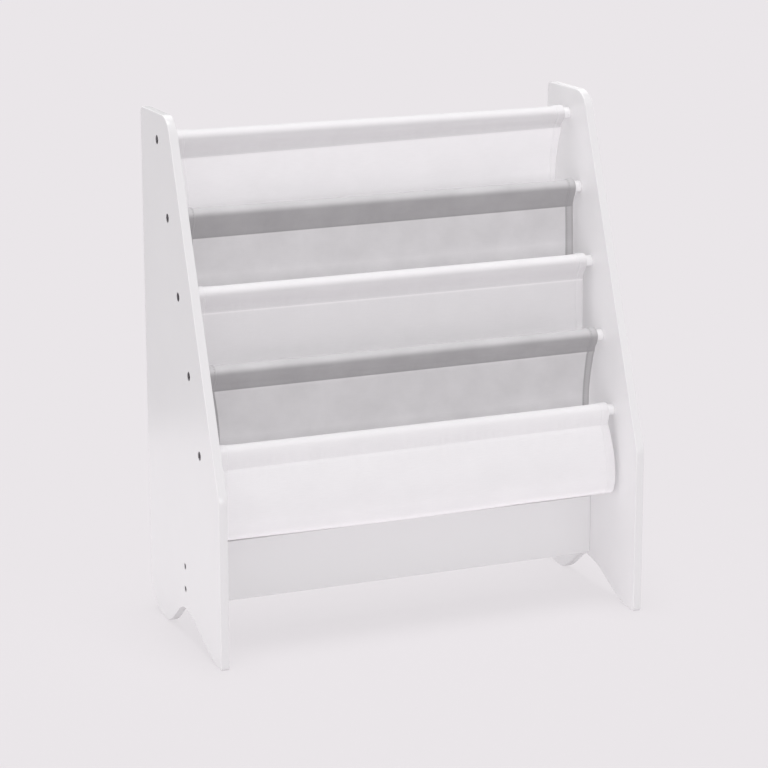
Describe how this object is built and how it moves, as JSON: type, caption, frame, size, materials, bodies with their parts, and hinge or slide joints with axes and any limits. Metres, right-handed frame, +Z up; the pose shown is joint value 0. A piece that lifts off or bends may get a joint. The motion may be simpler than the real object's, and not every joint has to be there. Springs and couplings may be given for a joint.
{
  "type": "sling bookshelf",
  "caption": "Child's sling bookshelf: white side panels with sloping fronts, round rods between them and sewn cloth pockets in white and grey for books shown face forward.",
  "frame": {"origin": "middle of the footprint, on the floor", "axes": "+X to the viewer's right across the shelf, +Y to the back, +Z up"},
  "size_m": [0.62, 0.29, 0.705],
  "materials": {
    "white_paint": "satin white lacquer on board",
    "rod_paint": "semi-gloss white lacquer on round wood",
    "white_cloth": "plain woven polyester canvas, matte",
    "grey_cloth": "plain woven polyester canvas, matte",
    "screw_steel": "dark zinc plate"
  },
  "bodies": {
    "root": {"side_panel_left": "white_paint", "side_panel_right": "white_paint", "stretcher": "white_paint", "rod_1": "rod_paint", "rod_2": "rod_paint", "rod_3": "rod_paint", "rod_4": "rod_paint", "rod_5": "rod_paint", "sling_1": "white_cloth", "sling_2": "grey_cloth", "sling_3": "white_cloth", "sling_4": "grey_cloth", "sling_5": "white_cloth", "rod_screw_left_1": "screw_steel", "rod_screw_left_2": "screw_steel", "rod_screw_left_3": "screw_steel", "rod_screw_left_4": "screw_steel", "rod_screw_left_5": "screw_steel", "stretcher_screw_left_1": "screw_steel", "stretcher_screw_left_2": "screw_steel", "rod_screw_right_1": "screw_steel", "rod_screw_right_2": "screw_steel", "rod_screw_right_3": "screw_steel", "rod_screw_right_4": "screw_steel", "rod_screw_right_5": "screw_steel", "stretcher_screw_right_1": "screw_steel", "stretcher_screw_right_2": "screw_steel"}
  },
  "joints": []
}
